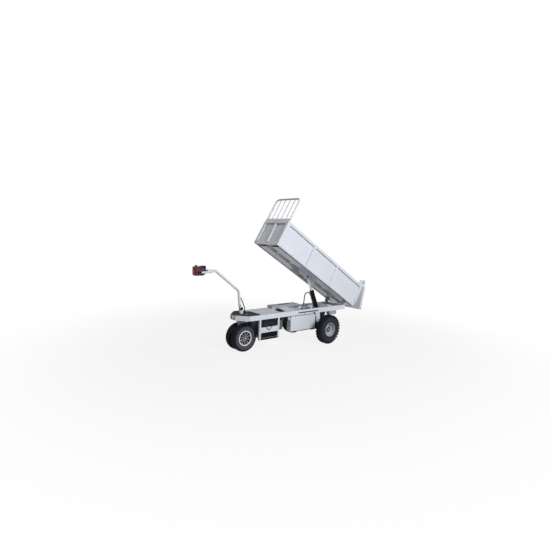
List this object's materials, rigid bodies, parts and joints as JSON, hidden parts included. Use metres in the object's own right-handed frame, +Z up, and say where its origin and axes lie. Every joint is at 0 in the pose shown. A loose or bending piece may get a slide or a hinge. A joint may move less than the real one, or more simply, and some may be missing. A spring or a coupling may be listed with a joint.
{
  "type": "electric dump cart",
  "caption": "Pedestrian-led battery dump cart with a raised tipping bed, hanging tailgate, driven rear wheels and a tiller-steered front twin wheel.",
  "frame": {"origin": "on the floor under the middle of the whole cart as it stands", "axes": "+X forward towards the tiller, +Y to the left, +Z up"},
  "size_m": [3.0499, 0.888, 2.1079],
  "materials": {
    "frame_paint": "satin",
    "bed_paint": "satin",
    "grey_paint": "satin",
    "black_paint": "satin",
    "mat_rubber": "matte",
    "tyre_rubber": "matte",
    "hose_rubber": "satin",
    "black_plastic": "textured",
    "red_plastic": "gloss",
    "clear_plastic": "gloss",
    "battery_case": "moulded",
    "rim_alloy": "machined",
    "rim_steel": "satin",
    "bright_steel": "turned",
    "chrome_rod": "polished",
    "cast_metal": "painted"
  },
  "bodies": {
    "chassis": {"chassis_frame": "frame_paint", "battery_frame": "frame_paint", "side_box": "frame_paint", "pump_frame": "frame_paint", "deck_plate": "grey_paint", "side_cover": "grey_paint", "axle_gussets": "grey_paint", "rear_brackets": "grey_paint", "hinge_lugs": "grey_paint", "cylinder_base": "grey_paint", "steer_housing": "grey_paint", "deck_mat": "mat_rubber", "mat_strip": "black_plastic", "controller": "black_plastic", "lamp_red": "red_plastic", "lamp_clear": "clear_plastic", "battery_guards": "black_paint", "drive_motor": "black_paint", "axle_hangers": "black_paint", "batteries": "battery_case", "pump_box": "battery_case", "axle_beam": "cast_metal", "tipping_hose": "hose_rubber", "conduit_lower": "hose_rubber", "battery_cable_outer": "hose_rubber", "battery_cable_inner": "hose_rubber", "deck_gland": "black_plastic"},
    "rear_wheel_left": {"rear_tyre_left": "tyre_rubber", "rear_rim_left": "rim_steel"},
    "bed": {"bed_side_left": "bed_paint", "bed_side_right": "bed_paint", "bed_floor": "bed_paint", "bed_front_wall": "bed_paint", "load_grille": "bed_paint", "gate_lugs": "bed_paint", "bed_hinges": "grey_paint"},
    "rear_wheel_right": {"rear_tyre_right": "tyre_rubber", "rear_rim_right": "rim_steel"},
    "front_wheels": {"front_tyres": "tyre_rubber", "front_rims": "rim_alloy"},
    "steering": {"steer_post": "frame_paint", "post_cap": "black_paint", "fork": "grey_paint", "front_axle": "bright_steel", "conduit_upper": "hose_rubber"},
    "tiller": {"tiller_tube": "frame_paint", "control_head": "black_plastic", "head_hubs": "black_plastic", "head_knob": "black_plastic", "belly_button": "red_plastic", "head_collars": "red_plastic"},
    "tailgate": {"tailgate": "bed_paint", "gate_ears": "bed_paint"},
    "cylinder_barrel": {"cylinder_barrel": "black_paint", "cylinder_pipe": "bright_steel"},
    "cylinder_rod": {"cylinder_rod": "chrome_rod"}
  },
  "joints": [
    {"name": "steering", "type": "hinge", "parent": "chassis", "child": "steering", "pos_m": [0.799, 0, 0], "axis": [0, 0, 1], "range_deg": [-70, 70], "deforming": ["conduit_lower"]},
    {"name": "front_wheels_spin", "type": "hinge", "parent": "steering", "child": "front_wheels", "pos_m": [0.787, 0, 0.187], "axis": [0, 1, 0], "continuous": true},
    {"name": "tiller_tilt", "type": "hinge", "parent": "steering", "child": "tiller", "pos_m": [0.812, 0, 0.584], "axis": [0, 1, 0], "range_deg": [-15, 40], "deforming": ["conduit_upper"]},
    {"name": "rear_wheel_left_spin", "type": "hinge", "parent": "chassis", "child": "rear_wheel_left", "pos_m": [-0.513, 0.388, 0.216], "axis": [0, 1, 0], "continuous": true},
    {"name": "rear_wheel_right_spin", "type": "hinge", "parent": "chassis", "child": "rear_wheel_right", "pos_m": [-0.513, -0.388, 0.216], "axis": [0, 1, 0], "continuous": true},
    {"name": "bed_tip", "type": "hinge", "parent": "chassis", "child": "bed", "pos_m": [-1.063, 0, 0.53], "axis": [0, -1, 0], "range_deg": [-30.6, 4.4]},
    {"name": "tailgate_swing", "type": "hinge", "parent": "bed", "child": "tailgate", "pos_m": [-1.44328, 0, 0.85242], "axis": [0, 1, 0], "range_deg": [-17.7, 70]},
    {"name": "cylinder_swing", "type": "hinge", "parent": "chassis", "child": "cylinder_barrel", "pos_m": [-0.678, 0, 0.4], "axis": [0, -1, 0], "range_deg": [-41.79, 6.44], "deforming": ["tipping_hose"]},
    {"name": "rod_slide", "type": "slide", "parent": "cylinder_barrel", "child": "cylinder_rod", "axis": [0.4175, 0, 0.9087], "range_m": [-0.19448, 0.02968]}
  ],
  "couplings": [
    {"joint": "cylinder_swing", "follows": "bed_tip", "ratio": 1.3495},
    {"joint": "rod_slide", "follows": "bed_tip", "m_per_rad": 0.3604}
  ]
}
